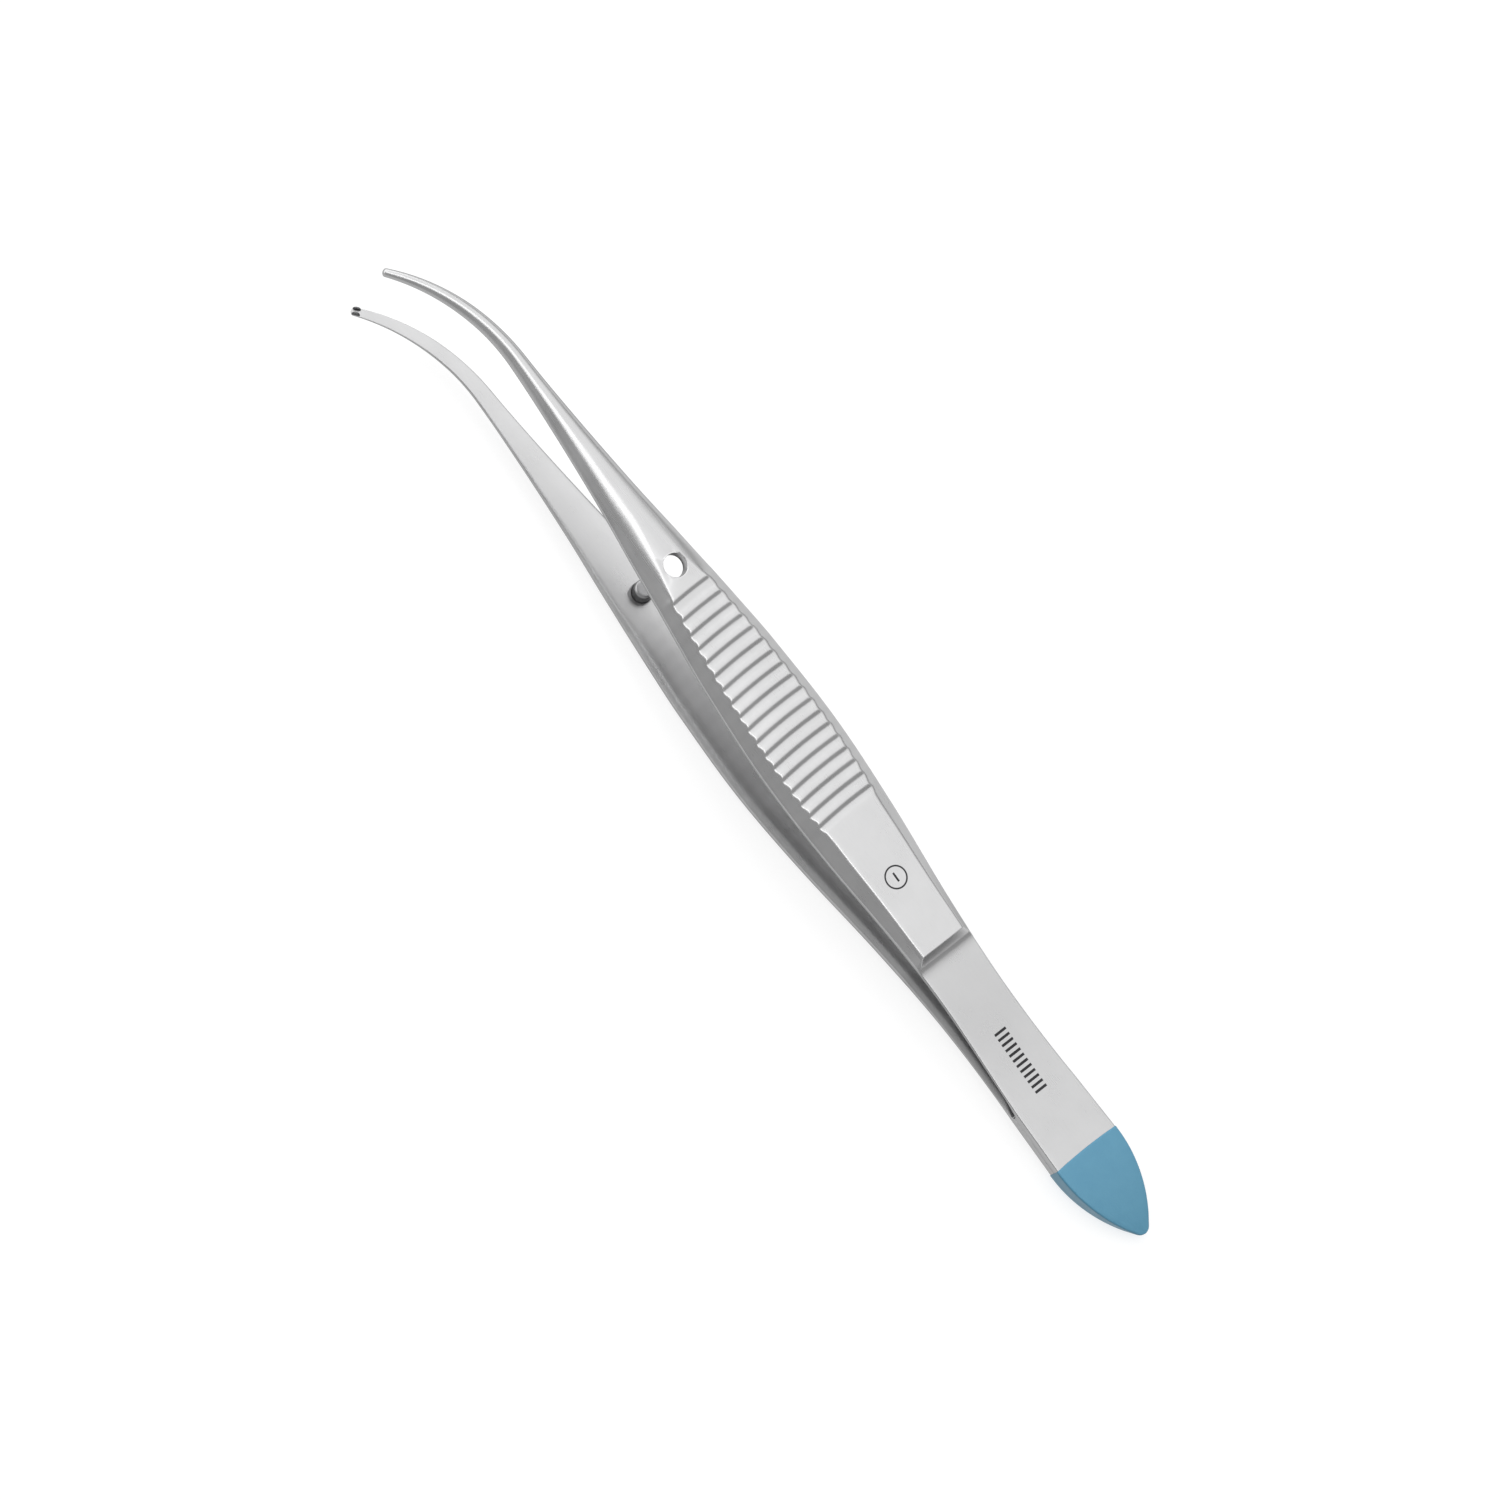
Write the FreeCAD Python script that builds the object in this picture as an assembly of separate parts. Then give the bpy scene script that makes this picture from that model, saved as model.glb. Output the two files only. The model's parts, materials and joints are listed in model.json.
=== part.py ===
"""Sprung tissue forceps: two mirror-image steel arms welded at the rear, with curved toothed tips.

The arms are first built about a symmetry plane z = 0, with the rear apex at x = 0, the tips towards +X
and curving towards +Y. Each arm has an inner face (towards z = 0) and an outer face (away from it).
At the end everything is tilted so that the lower arm's grip lies flat on z = 0, and moved so that the
origin is under the middle of the bounding box. Millimetres throughout.
"""
import FreeCAD, Part

import math
import os

Vector = FreeCAD.Vector

# Half the side of a cutter that reaches past the whole cross-section
REACH = 10.0

# Lengthwise positions, measured from the rear apex
COAT_END = 8.38
TANGENT_X = 8.0
WELD_FRONT = 13.7
STEP_X = 28.2
GRIP_FRONT = 64.4
HOLE_X = 66.6
TIP_CURVE_X = 87.4
BLADE_END = 100.5
TIP_END = 100.75

# Rear end, whose outer faces follow an arc from TANGENT_X back to THINNED_FROM, just behind the apex
THINNED_FROM = -0.3
TAB_HALF_WIDTH = 3.23
OGIVE_RADIUS = 13.0
APEX_RADIUS = 0.75
TAB_THICKNESS = 0.9
THINNING_RADIUS = 39.0
WELD_THICKNESS = 0.06
WELD_INSET = 0.03
COAT_THICKNESS = 0.05

# Arms
OPEN_ANGLE = 4.3
STEP_INNER_HEIGHT = 1.52
GRIP_THICKNESS = 1.6
GRIP_SIDE = 0.72
CHAMFER_RUN = 1.05
STEP_RUN = 0.78
BOW_RADIUS = 600.0

# Half widths of the arm along its length, as (position, half width)
LEAF_OUTLINE = [(WELD_FRONT, 3.08), (16.5, 2.95), (20.5, 2.8), (24.2, 2.75), (28.2, 2.85)]
GRIP_OUTLINE = [(28.2, 2.85), (32.5, 3.13), (40.6, 3.81), (48.8, 4.11), (57.0, 3.71), (61.0, 3.31),
                (64.4, 2.92)]
BLADE_OUTLINE = [(64.4, 2.92), (69.0, 2.4), (73.3, 1.88), (77.4, 1.48), (81.5, 1.14), (85.6, 0.87),
                 (89.7, 0.72), (93.7, 0.62), (97.5, 0.49), (BLADE_END, 0.37)]

# Thickness of the spring leaf along its length, relieved on the inside just ahead of the weld
LEAF_THICKNESSES = [(WELD_FRONT, 0.65), (15.3, 0.5), (18.0, 0.5), (23.0, 0.6), (STEP_X, 0.68)]
LEAF_POINTS = 12

# Ribbed grip: ridges stand between shallow grooves, whose spacing grows a little towards the tips
GROOVE_COUNT = 18
GROOVE_FIRST = 42.68
GROOVE_PITCH = 1.202
GROOVE_PITCH_GROWTH = 0.00273
LAST_GROOVE_SHIFT = 0.24
GROOVE_WIDTH = 0.8
GROOVE_DEPTH = 0.2
GROOVE_SLANT = 3.0

# Guide pin, standing on the lower arm, and its hole in the upper arm, countersunk on the inner side
GUIDE_Y = -0.2
HOLE_RADIUS = 1.0
COUNTERSINK = 0.35
COUNTERSINK_MARGIN = 0.1
PIN_RADIUS = 0.87
PIN_HEIGHT = 1.35
PIN_DOME = 0.15
PIN_OVERLAP = 0.2

# Tip
TIP_CURVE_RADIUS = 18.0
TOOTH_POSITION = 100.3
TOOTH_ROOT = 0.7
TOOTH_TOP = 0.3
TOOTH_HEIGHT = 0.34
UPPER_TOOTH_WIDTH = 0.18
LOWER_TOOTH_WIDTH = 0.18
TOOTH_CLEARANCE = 0.03
TOOTH_SINK = 0.1

# Shoulder curve between a section's side and its outer flat. Each of its two middle poles stands off the
# nearer end by shares of the shoulder's width and height, given here for a chamfer and for a round back.
CHAMFER_POLE = (1 / 3, 1 / 3)
ROUND_FOOT_POLE = (0.2, 0.42)
ROUND_TOP_POLE = (0.5, 0.08)

# The rounded end cap is cut at these shares of its length, and thins to this share of its thickness
CAP_STEPS = (0.45, 0.75, 0.95)
CAP_LEAST_THICKNESS = 0.45

# Blade sections, as (position, thickness, side height, outer flat half width, roundness 0 to 1)
BLADE_SECTIONS = [(64.4, 1.6, 0.72, 1.85, 0.0), (67.0, 1.5, 0.62, 1.4, 0.45), (70.5, 1.36, 0.52, 0.95, 0.8),
                  (74.5, 1.22, 0.44, 0.62, 1.0), (79.0, 1.08, 0.36, 0.4, 1.0), (83.5, 0.95, 0.3, 0.28, 1.0),
                  (88.0, 0.84, 0.27, 0.2, 1.0), (93.0, 0.7, 0.23, 0.15, 1.0), (97.0, 0.58, 0.18, 0.11, 1.0),
                  (BLADE_END, 0.46, 0.14, 0.08, 1.0)]


def spread(points, position):
    """Value at a position on the smooth curve through (position, value) points."""
    index = 0
    while index < len(points) - 2 and position > points[index + 1][0]:
        index += 1
    (x0, y0), (x1, y1) = points[index], points[index + 1]
    before = points[max(index - 1, 0)]
    after = points[min(index + 2, len(points) - 1)]
    slope0 = (y1 - before[1]) / (x1 - before[0])
    slope1 = (after[1] - y0) / (after[0] - x0)
    span = x1 - x0
    t = (position - x0) / span
    return (y0 * (2 * t ** 3 - 3 * t ** 2 + 1) + slope0 * span * (t ** 3 - 2 * t ** 2 + t)
            + y1 * (3 * t ** 2 - 2 * t ** 3) + slope1 * span * (t ** 3 - t ** 2))


def mix(start, end, share):
    return start + (end - start) * share


def spline(points):
    """Edge of the smooth curve through the points."""
    curve = Part.BSplineCurve()
    curve.interpolate(points)
    return curve.toShape()


def line(start, end):
    return Part.LineSegment(start, end).toShape()


def arc(start, middle, end):
    return Part.Arc(start, middle, end).toShape()


def plan_wire(outline, z, inset=0.0, rear_inset=0.0):
    """Closed plan outline at height z, with its sides moved in by inset and its rear edge forward."""
    stations = [outline[0][0] + rear_inset] + [x for x, _ in outline[1:]]
    left = [Vector(x, spread(outline, x) - inset, z) for x in stations]
    right = [Vector(p.x, -p.y, z) for p in left]
    return Part.Wire([spline(left), line(left[-1], right[-1]), spline(right[::-1]), line(right[0], left[0])])


def arm_place(shape):
    """Swing a shape from the arm's own frame, whose inner face is z = 0, to its open position."""
    placed = shape.copy()
    placed.rotate(Vector(STEP_X, 0, 0), Vector(0, 1, 0), -OPEN_ANGLE)
    placed.translate(Vector(0, 0, STEP_INNER_HEIGHT))
    return placed


def mirrored(shape):
    """The same shape on the other side of the symmetry plane."""
    return shape.mirror(Vector(0, 0, 0), Vector(0, 0, 1))


def rear_outline(grow=0.0):
    """Plan outline of the rear end, from the rounded apex to the weld's front edge."""
    side = TAB_HALF_WIDTH + grow
    arc_radius = OGIVE_RADIUS + grow
    centre_y = side - arc_radius
    apex_radius = APEX_RADIUS + grow
    apex_reach = math.sqrt((arc_radius - apex_radius) ** 2 - centre_y ** 2)
    apex_x = TANGENT_X - apex_reach
    turn = math.asin(apex_reach / (arc_radius - apex_radius))

    def on_ogive(angle, sign):
        back, out = arc_radius * math.sin(angle), arc_radius * math.cos(angle)
        return Vector(TANGENT_X - back, sign * (centre_y + out), 0)

    front_half = LEAF_OUTLINE[0][1] + grow
    front = [Vector(WELD_FRONT, sign * front_half, 0) for sign in (1, -1)]
    edges = [arc(on_ogive(turn, 1), on_ogive(turn / 2, 1), on_ogive(0, 1)),
             line(on_ogive(0, 1), front[0]),
             line(front[0], front[1]),
             line(front[1], on_ogive(0, -1)),
             arc(on_ogive(0, -1), on_ogive(turn / 2, -1), on_ogive(turn, -1)),
             arc(on_ogive(turn, -1), Vector(apex_x - apex_radius, 0, 0), on_ogive(turn, 1))]
    return Part.Face(Part.Wire(edges))


def rear_prism(low, high, grow=0.0):
    """The rear outline as a plate between two heights."""
    plate = rear_outline(grow)
    plate.translate(Vector(0, 0, low))
    return plate.extrude(Vector(0, 0, high - low))


def thinned_end(grow=0.0):
    """Room for the rear end, between outer faces that curve towards each other at the apex."""
    half = WELD_THICKNESS / 2 + TAB_THICKNESS
    radius = THINNING_RADIUS + grow

    def on_face(x, sign):
        height = half - THINNING_RADIUS + math.sqrt(radius ** 2 - (TANGENT_X - x) ** 2)
        return Vector(x, -REACH, sign * height)

    middle = (THINNED_FROM + TANGENT_X) / 2
    front = [Vector(WELD_FRONT, -REACH, sign * (half + grow)) for sign in (1, -1)]
    profile = Part.Wire([arc(on_face(THINNED_FROM, 1), on_face(middle, 1), on_face(TANGENT_X, 1)),
                         line(on_face(TANGENT_X, 1), front[0]),
                         line(front[0], front[1]),
                         line(front[1], on_face(TANGENT_X, -1)),
                         arc(on_face(TANGENT_X, -1), on_face(middle, -1), on_face(THINNED_FROM, -1)),
                         line(on_face(THINNED_FROM, -1), on_face(THINNED_FROM, 1))])
    return Part.Face(profile).extrude(Vector(0, 2 * REACH, 0))


def rear_tab():
    """Flat rear end of one arm, next to the weld."""
    return rear_prism(WELD_THICKNESS / 2, WELD_THICKNESS / 2 + TAB_THICKNESS).common(thinned_end())


def rear_weld():
    """Fused metal between the tabs, a little inside their edges."""
    plate = rear_prism(-WELD_THICKNESS / 2, WELD_THICKNESS / 2, -WELD_INSET)
    front = Part.makeBox(REACH, 2 * REACH, 2 * REACH, Vector(WELD_FRONT - WELD_INSET, -REACH, -REACH))
    return plate.cut(front)


def blue_end_coat():
    """Thick colour coat round the rear end, with a straight front edge."""
    half = WELD_THICKNESS / 2 + TAB_THICKNESS
    skin = half + COAT_THICKNESS
    outside = rear_prism(-skin, skin, COAT_THICKNESS).common(thinned_end(COAT_THICKNESS))
    inside = rear_prism(-half, half).common(thinned_end())
    ahead = Part.makeBox(2 * REACH, 2 * REACH, 2 * REACH, Vector(COAT_END, -REACH, -REACH))
    return outside.cut(inside).cut(ahead)


def leaf_thickness(position):
    return spread(LEAF_THICKNESSES, position)


def spring_leaf():
    """Thin springy stretch between the weld and the grip, bent away from the symmetry plane."""
    angle = math.radians(OPEN_ANGLE)
    along = Vector(math.cos(angle), 0, math.sin(angle))
    outward = Vector(-math.sin(angle), 0, math.cos(angle))
    outer_rear = Vector(WELD_FRONT, -REACH, WELD_THICKNESS / 2 + TAB_THICKNESS)
    outer_front = Vector(STEP_X, -REACH, STEP_INNER_HEIGHT) + outward * leaf_thickness(STEP_X)
    reach = (outer_front.x - outer_rear.x) / 3
    outer = Part.BezierCurve()
    outer.setPoles([outer_rear, outer_rear + Vector(reach, 0, 0), outer_front - along * reach, outer_front])

    inner = []
    for index in range(LEAF_POINTS + 1):
        share = index / LEAF_POINTS
        inwards = outer.tangent(share)[0].cross(Vector(0, -1, 0))
        inner.append(outer.value(share) + inwards * leaf_thickness(mix(WELD_FRONT, STEP_X, share)))
    profile = Part.Wire([spline(inner), line(inner[-1], outer_front), outer.toShape(),
                         line(outer_rear, inner[0])])
    slab = Part.Face(profile).extrude(Vector(0, 2 * REACH, 0))
    outline = Part.Face(plan_wire(LEAF_OUTLINE, -REACH)).extrude(Vector(0, 0, 2 * REACH))
    return slab.common(outline)


def grooves():
    """Cutters for the shallow grooves across the outer face of the grip."""
    cutters = []
    for index in range(GROOVE_COUNT):
        front = GROOVE_FIRST + GROOVE_PITCH * index + GROOVE_PITCH_GROWTH * index ** 2
        if index == GROOVE_COUNT - 1:
            front += LAST_GROOVE_SHIFT
        corner = Vector(front - GROOVE_WIDTH, -REACH, GRIP_THICKNESS - GROOVE_DEPTH)
        cutter = Part.makeBox(GROOVE_WIDTH, 2 * REACH, REACH, corner)
        cutter.rotate(Vector(front, 0, 0), Vector(0, 0, 1), GROOVE_SLANT)
        cutters.append(cutter)
    return Part.makeCompound(cutters)


def grip():
    """Thick part of the arm, with chamfered edges and a ribbed outer face, in the arm's frame."""
    base = Part.Face(plan_wire(GRIP_OUTLINE, 0)).extrude(Vector(0, 0, GRIP_SIDE))
    crown = Part.makeLoft([plan_wire(GRIP_OUTLINE, GRIP_SIDE),
                           plan_wire(GRIP_OUTLINE, GRIP_THICKNESS, CHAMFER_RUN, STEP_RUN)], True)
    return base.fuse(crown).removeSplitter().cut(grooves())


def centre_line(position):
    """Point and heading of the blade's middle line, which bends towards +Y near the tip."""
    if position <= TIP_CURVE_X:
        return position, 0.0, 0.0
    turn = (position - TIP_CURVE_X) / TIP_CURVE_RADIUS
    return (TIP_CURVE_X + TIP_CURVE_RADIUS * math.sin(turn), TIP_CURVE_RADIUS * (1 - math.cos(turn)), turn)


def bow(position):
    """How far the blade's inner face bends back towards the other arm."""
    return max(position - GRIP_FRONT, 0.0) ** 2 / (2 * BOW_RADIUS)


def section_wire(position, half_width, thickness, side, flat, roundness):
    """Cross-section of the blade: flat inner face, upright sides, rounded shoulders, flat outer face."""
    x, y, turn = centre_line(position)
    drop = bow(position)
    shoulder_width, shoulder_height = half_width - flat, thickness - side

    def at(across, height):
        return Vector(x - across * math.sin(turn), y + across * math.cos(turn), height - drop)

    def standing_off(round_pole):
        across, up = [mix(straight, curved, roundness) for straight, curved in zip(CHAMFER_POLE, round_pole)]
        return across * shoulder_width, up * shoulder_height

    def shoulder(sign):
        foot_in, foot_up = standing_off(ROUND_FOOT_POLE)
        top_out, top_down = standing_off(ROUND_TOP_POLE)
        lower_out, lower_up = half_width - foot_in, side + foot_up
        upper_out, upper_up = flat + top_out, thickness - top_down
        curve = Part.BezierCurve()
        poles = [at(sign * half_width, side), at(sign * lower_out, lower_up),
                 at(sign * upper_out, upper_up), at(sign * flat, thickness)]
        curve.setPoles(poles if sign > 0 else poles[::-1])
        return curve.toShape()

    return Part.Wire([line(at(-half_width, 0), at(half_width, 0)),
                      line(at(half_width, 0), at(half_width, side)),
                      shoulder(1),
                      line(at(flat, thickness), at(-flat, thickness)),
                      shoulder(-1),
                      line(at(-half_width, side), at(-half_width, 0))])


def blade_section(position, shrink=1.0):
    """Section at a position, its sizes taken from the tables and shrunk towards the inner face's middle."""
    columns = [[(row[0], row[column]) for row in BLADE_SECTIONS] for column in range(1, 5)]
    thickness, side, flat, roundness = [spread(column, position) for column in columns]
    half_width = spread(BLADE_OUTLINE, position)
    lean = mix(CAP_LEAST_THICKNESS, 1.0, shrink)
    return section_wire(position, half_width * shrink, thickness * lean, side * lean, flat * shrink,
                        min(max(roundness, 0.0), 1.0))


def blade():
    """Tapered blade and curved tip, in the arm's frame."""
    body = Part.makeLoft([blade_section(row[0]) for row in BLADE_SECTIONS], True, False)
    cap = [blade_section(BLADE_END)]
    for step in CAP_STEPS:
        cap.append(blade_section(mix(BLADE_END, TIP_END, step), math.sqrt(1 - step ** 2)))
    return body.fuse(Part.makeLoft(cap, True, True))


def tooth(width, across):
    """One pointed tooth on the inner face near the tip, its middle moved across the blade."""
    x, y, turn = centre_line(TOOTH_POSITION)
    along = Vector(math.cos(turn), math.sin(turn), 0)
    sideways = Vector(-math.sin(turn), math.cos(turn), 0)
    foot = Vector(x, y, TOOTH_SINK - bow(TOOTH_POSITION)) + sideways * (across - width / 2)
    top = foot - Vector(0, 0, TOOTH_SINK + TOOTH_HEIGHT)
    corners = [foot - along * (TOOTH_ROOT / 2), top - along * (TOOTH_TOP / 2),
               top + along * (TOOTH_TOP / 2), foot + along * (TOOTH_ROOT / 2)]
    outline = Part.Face(Part.makePolygon(corners + corners[:1]))
    return outline.extrude(sideways * width)


def guide_bore(radius):
    """Straight bore through the blade at the guide pin's place."""
    return Part.makeCylinder(radius, 2 * REACH, Vector(HOLE_X, GUIDE_Y, -REACH))


def countersink():
    """Cone at the guide hole's inner end."""
    foot = Vector(HOLE_X, GUIDE_Y, -COUNTERSINK_MARGIN)
    return Part.makeCone(HOLE_RADIUS + COUNTERSINK + COUNTERSINK_MARGIN, HOLE_RADIUS,
                         COUNTERSINK + COUNTERSINK_MARGIN, foot)


def upper_blade():
    """Blade with the guide hole and one tooth, which fits between the lower arm's two."""
    return blade().cut(guide_bore(HOLE_RADIUS)).cut(countersink()).fuse(tooth(UPPER_TOOTH_WIDTH, 0))


def lower_blade():
    """Blade with the guide pin's seat and two teeth, in the arm's frame before mirroring."""
    offset = UPPER_TOOTH_WIDTH / 2 + TOOTH_CLEARANCE + LOWER_TOOTH_WIDTH / 2
    teeth = [tooth(LOWER_TOOTH_WIDTH, offset), tooth(LOWER_TOOTH_WIDTH, -offset)]
    return blade().cut(guide_bore(PIN_RADIUS)).fuse(teeth)


def guide_pin():
    """Pin ground flush with the outer face, with a domed free end, in the arm's frame.

    Its seated length is cut from the blade, and its free length overlaps that inside the blade.
    """
    seated = blade().common(guide_bore(PIN_RADIUS))
    foot, edge, top = PIN_OVERLAP, PIN_DOME - PIN_HEIGHT, -PIN_HEIGHT
    flat = PIN_RADIUS - PIN_DOME
    bend = PIN_DOME * math.sqrt(0.5)
    middle = Vector(flat + bend, 0, edge - bend)
    profile = Part.Wire([line(Vector(0, 0, foot), Vector(PIN_RADIUS, 0, foot)),
                         line(Vector(PIN_RADIUS, 0, foot), Vector(PIN_RADIUS, 0, edge)),
                         arc(Vector(PIN_RADIUS, 0, edge), middle, Vector(flat, 0, top)),
                         line(Vector(flat, 0, top), Vector(0, 0, top)),
                         line(Vector(0, 0, top), Vector(0, 0, foot))])
    free = Part.Face(profile).revolve(Vector(0, 0, 0), Vector(0, 0, 1), 360)
    free.translate(Vector(HOLE_X, GUIDE_Y, 0))
    return seated.fuse(free).removeSplitter()


def assembly():
    """All parts about the symmetry plane, by name."""
    return {
        "upper_rear_tab": rear_tab(),
        "lower_rear_tab": mirrored(rear_tab()),
        "rear_weld": rear_weld(),
        "blue_end_coat": blue_end_coat(),
        "upper_spring_leaf": spring_leaf(),
        "lower_spring_leaf": mirrored(spring_leaf()),
        "upper_grip": arm_place(grip()),
        "lower_grip": mirrored(arm_place(grip())),
        "upper_blade": arm_place(upper_blade()),
        "lower_blade": mirrored(arm_place(lower_blade())),
        "guide_pin": mirrored(arm_place(guide_pin())),
    }


def laid_down(parts):
    """The parts with the lower grip flat on z = 0 and the origin under the middle of their box."""
    for shape in parts.values():
        shape.rotate(Vector(0, 0, 0), Vector(0, 1, 0), -OPEN_ANGLE)
    box = Part.makeCompound(list(parts.values())).optimalBoundingBox()
    shift = Vector(-(box.XMin + box.XMax) / 2, -(box.YMin + box.YMax) / 2, -box.ZMin)
    for shape in parts.values():
        shape.translate(shift)
    print("moved from the symmetry frame by", shift)
    return parts


def export(parts):
    """Write one file per part, and print each part's size."""
    os.makedirs("parts", exist_ok=True)
    for name, shape in parts.items():
        box = shape.optimalBoundingBox()
        print(f"{name:18s} solids {len(shape.Solids)} valid {shape.isValid()} volume {shape.Volume:8.3f}"
              f"  x {box.XMin:7.3f} {box.XMax:7.3f}  y {box.YMin:6.3f} {box.YMax:6.3f}"
              f"  z {box.ZMin:6.3f} {box.ZMax:6.3f}")
        shape.exportStep(f"parts/{name}.step")


export(laid_down(assembly()))
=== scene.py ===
"""Looks of the curved tissue forceps: two satin steel arms, a blue rear end, a guide pin and toothed tips.

Shapes are written in millimetres about the tool's symmetry plane: x from the rear apex to the tips, y to
the side the tips curve to, z outwards from the plane. symmetry_frame() places them in the row frame.
"""
import json
import math
import random

import bmesh
import bpy
from mathutils import Matrix, Vector


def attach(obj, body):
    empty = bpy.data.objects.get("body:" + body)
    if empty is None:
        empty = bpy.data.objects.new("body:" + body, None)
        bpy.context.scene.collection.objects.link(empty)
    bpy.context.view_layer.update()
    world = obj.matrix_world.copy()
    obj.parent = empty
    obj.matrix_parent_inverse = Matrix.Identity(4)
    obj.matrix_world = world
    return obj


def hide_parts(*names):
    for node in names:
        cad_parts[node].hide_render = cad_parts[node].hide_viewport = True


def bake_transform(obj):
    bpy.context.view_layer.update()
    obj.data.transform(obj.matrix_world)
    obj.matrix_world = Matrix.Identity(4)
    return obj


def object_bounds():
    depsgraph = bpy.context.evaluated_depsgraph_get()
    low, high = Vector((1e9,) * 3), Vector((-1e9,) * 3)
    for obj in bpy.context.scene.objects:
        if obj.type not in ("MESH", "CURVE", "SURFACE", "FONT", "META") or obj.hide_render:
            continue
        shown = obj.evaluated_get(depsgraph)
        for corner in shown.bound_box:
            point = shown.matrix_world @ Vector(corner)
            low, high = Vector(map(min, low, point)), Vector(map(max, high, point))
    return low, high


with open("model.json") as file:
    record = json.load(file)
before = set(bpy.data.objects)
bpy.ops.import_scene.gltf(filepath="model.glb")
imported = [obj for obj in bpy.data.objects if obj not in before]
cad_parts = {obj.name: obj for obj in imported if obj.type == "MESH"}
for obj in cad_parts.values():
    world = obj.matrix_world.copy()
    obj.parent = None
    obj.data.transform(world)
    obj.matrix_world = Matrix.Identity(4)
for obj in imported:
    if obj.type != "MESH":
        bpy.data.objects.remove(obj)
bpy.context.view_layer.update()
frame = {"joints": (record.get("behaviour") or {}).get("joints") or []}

MM = 0.001

# Lengthwise positions, from the rear apex
COAT_END = 8.38
TANGENT_X = 8.0
WELD_FRONT = 13.7
HINGE_X = 19.8
STEP_X = 28.2
GRIP_FRONT = 64.4
HOLE_X = 66.6
TIP_CURVE_X = 87.4
BLADE_END = 100.5
TIP_END = 100.735

# Rear end
TAB_HALF_WIDTH = 3.23
OGIVE_RADIUS = 13.0
APEX_RADIUS = 0.75
TAB_THICKNESS = 0.9
THINNING_RADIUS = 39.0
HALF_WELD = 0.03
COAT_THICKNESS = 0.05
COAT_LIP_LEAD = 0.05
COAT_LIP_BOW = 0.011

# Arms
OPEN_ANGLE = 4.3
STEP_INNER_HEIGHT = 1.52
GRIP_THICKNESS = 1.6
GRIP_SIDE = 0.72
STEP_RUN = 0.78
STEP_SCOOP = 1.1
STEP_LIFT = 0.12
STEP_HOLLOW = 1.15
BOW_RADIUS = 600.0
TIP_CURVE_RADIUS = 18.0

LEAF_OUTLINE = [(WELD_FRONT, 3.08), (16.5, 2.95), (20.5, 2.8), (24.2, 2.75), (28.2, 2.85)]
GRIP_OUTLINE = [(28.2, 2.85), (32.5, 3.13), (40.6, 3.81), (48.8, 4.11), (57.0, 3.71), (61.0, 3.31),
                (64.4, 2.92)]
BLADE_OUTLINE = [(64.4, 2.92), (69.0, 2.4), (73.3, 1.88), (77.4, 1.48), (81.5, 1.14), (85.6, 0.87),
                 (89.7, 0.72), (93.7, 0.62), (97.5, 0.49), (BLADE_END, 0.37)]

# Width of the grip's chamfers, as (position, width): they widen towards the ribs
GRIP_CHAMFERS = [(28.2, 0.66), (31.0, 0.74), (36.0, 1.0), (40.8, 1.18), (44.5, 1.05), (64.4, 1.05)]

# Thickness of the spring leaf, relieved on the inside just ahead of the weld, where the slit starts bluntly
LEAF_THICKNESSES = [(WELD_FRONT, 0.55), (15.3, 0.4), (18.0, 0.4), (23.0, 0.56), (STEP_X, 0.68)]
SLIT_START = 0.25

# Blade sections, as (position, thickness, side height, outer flat half width, roundness 0 to 1)
BLADE_SECTIONS = [(64.4, 1.6, 0.72, 1.85, 0.0), (67.0, 1.5, 0.62, 1.4, 0.45), (70.5, 1.36, 0.52, 0.95, 0.8),
                  (74.5, 1.22, 0.44, 0.62, 1.0), (79.0, 1.08, 0.36, 0.4, 1.0), (83.5, 0.95, 0.3, 0.28, 1.0),
                  (88.0, 0.84, 0.27, 0.2, 1.0), (93.0, 0.7, 0.23, 0.15, 1.0), (97.0, 0.58, 0.18, 0.11, 1.0),
                  (BLADE_END, 0.46, 0.14, 0.08, 1.0)]

# Ribs: each has a steep wall facing the rear end, a rounded top and a gentle fall to the next groove.
# Their spacing grows a little towards the tips, and the last one is wider.
RIB_COUNT = 18
RIB_FIRST = 42.68
RIB_PITCH = 1.202
RIB_GROWTH = 0.00273
LAST_RIB_EXTRA = 0.24
RIB_DEPTH = 0.13
FIRST_FALL = 0.9
RIB_SHAPE = [(-0.25, 0.0), (-0.18, 0.05), (-0.1, 0.2), (-0.02, 0.45), (0.06, 0.7), (0.14, 0.88),
             (0.22, 0.98), (0.3, 1.0), (0.4, 0.95), (0.5, 0.8), (0.6, 0.58), (0.7, 0.35), (0.8, 0.15),
             (0.9, 0.03), (0.95, 0.0)]

# The ribs cross the arm at a slight slant, bowed towards the tips in the middle
RIB_SLANT = 0.036
RIB_BOW = 0.12
RIB_BOW_REACH = 3.3
SKEW_STARTS = 40.2
SKEW_ENDS = 64.46
SKEW_GROWTH = 1.5
SKEW_FADING = 0.62

# Guide pin and hole
GUIDE_Y = -0.2
HOLE_RADIUS = 1.0
COUNTERSINK = 0.35
PIN_RADIUS = 0.87
PIN_HEIGHT = 1.35
PIN_DOME = 0.28
PIN_FOOT_INSET = 0.015
BORE_EDGE = 0.06

# Teeth
TOOTH_POSITION = 100.3
TOOTH_ROOT = 0.7
TOOTH_HEIGHT = 0.34
TOOTH_WIDTH = 0.2
TOOTH_CLEARANCE = 0.03

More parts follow.
